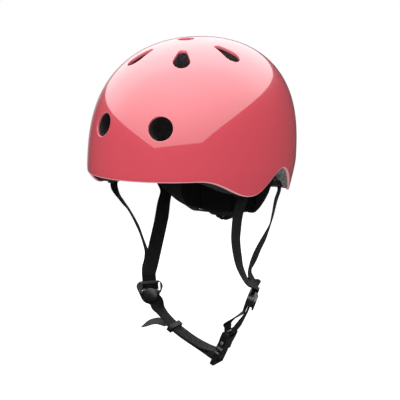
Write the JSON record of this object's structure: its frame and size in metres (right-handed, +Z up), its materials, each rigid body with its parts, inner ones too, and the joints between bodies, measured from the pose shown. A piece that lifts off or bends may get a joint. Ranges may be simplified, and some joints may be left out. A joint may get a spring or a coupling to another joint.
{
  "type": "bicycle helmet",
  "caption": "Child's round bicycle helmet with a glossy coral shell, foam liner, side-release chin strap and dial fit cradle.",
  "frame": {"origin": "middle of the head cavity, at the shell's widest level", "axes": "+Z up out of the crown, -Y towards the front of the helmet, +X towards the wearer's left"},
  "size_m": [0.202, 0.2482, 0.3461],
  "materials": {
    "shell": "gloss",
    "foam": "matte",
    "webbing": "matte",
    "padding": "matte",
    "hook_tape": "matte",
    "moulded": "satin",
    "rubber": "matte",
    "steel": "satin"
  },
  "bodies": {
    "helmet": {"outer_shell": "shell", "eps_liner": "foam", "brow_pad": "padding", "crown_pad": "padding", "rear_pad": "padding", "side_pad_left": "padding", "side_pad_right": "padding", "pad_dots": "hook_tape", "strap_anchor_front_left": "moulded", "strap_anchor_front_right": "moulded", "strap_anchor_rear_left": "moulded", "strap_anchor_rear_right": "moulded", "strap_front_left": "webbing", "strap_front_right": "webbing", "strap_rear_left": "webbing", "strap_rear_right": "webbing", "divider_body_left": "moulded", "divider_body_right": "moulded", "divider_pin_left": "steel", "divider_pin_right": "steel", "buckle_strap": "webbing", "chin_strap": "webbing", "buckle_female": "moulded", "fit_band_left": "moulded", "fit_band_right": "moulded", "fit_clip_left": "moulded", "fit_clip_right": "moulded", "dial_housing": "moulded", "dial_cover": "moulded", "dial_detent": "steel", "occipital_pad": "padding"},
    "dial": {"dial_knob": "moulded", "dial_pinion": "moulded", "dial_screw": "steel"},
    "rack_left": {"fit_rack_left": "moulded"},
    "rack_right": {"fit_rack_right": "moulded"},
    "plug": {"buckle_male": "moulded"},
    "prong_front": {"buckle_prong_front": "moulded"},
    "prong_rear": {"buckle_prong_rear": "moulded"},
    "cam_left": {"divider_cam_left": "moulded"},
    "cam_right": {"divider_cam_right": "moulded"},
    "keeper": {"strap_keeper": "rubber"}
  },
  "joints": [
    {"name": "fit_dial", "type": "hinge", "parent": "helmet", "child": "dial", "pos_m": [0, 0.054, -0.06], "axis": [0, -1, 0], "range_deg": [-150, 150]},
    {"name": "rack_left", "type": "slide", "parent": "helmet", "child": "rack_left", "axis": [-1, 0, 0], "range_m": [-0.0105, 0.0105], "deforming": ["fit_band_left"]},
    {"name": "rack_right", "type": "slide", "parent": "helmet", "child": "rack_right", "axis": [1, 0, 0], "range_m": [-0.0105, 0.0105], "deforming": ["fit_band_right"]},
    {"name": "buckle_release", "type": "slide", "parent": "helmet", "child": "plug", "axis": [-0.4289, -0.0375, -0.9026], "range_m": [0, 0.016], "deforming": ["chin_strap", "buckle_prong_front", "buckle_prong_rear"]},
    {"name": "prong_front", "type": "hinge", "parent": "plug", "child": "prong_front", "pos_m": [0.02846, 0.00638, -0.2041], "axis": [-0.8992, -0.0787, 0.4305], "range_deg": [0, 9], "stiffness_Nm_per_rad": 0.05},
    {"name": "prong_rear", "type": "hinge", "parent": "plug", "child": "prong_rear", "pos_m": [0.02748, 0.01754, -0.2041], "axis": [0.8992, 0.0787, -0.4305], "range_deg": [0, 9], "stiffness_Nm_per_rad": 0.05},
    {"name": "cam_left", "type": "hinge", "parent": "helmet", "child": "cam_left", "pos_m": [0.06955, 0.00907, -0.14432], "axis": [0.2903, -0.9118, -0.2904], "range_deg": [0, 75]},
    {"name": "cam_right", "type": "hinge", "parent": "helmet", "child": "cam_right", "pos_m": [-0.05901, 0.00355, -0.14964], "axis": [-0.7625, -0.6461, -0.0346], "range_deg": [0, 75]},
    {"name": "keeper_slide", "type": "slide", "parent": "helmet", "child": "keeper", "axis": [0.8388, 0.0075, -0.5443], "range_m": [0, 0.008]}
  ],
  "couplings": [
    {"joint": "rack_left", "follows": "fit_dial", "m_per_rad": 0.004},
    {"joint": "rack_right", "follows": "fit_dial", "m_per_rad": 0.004}
  ]
}
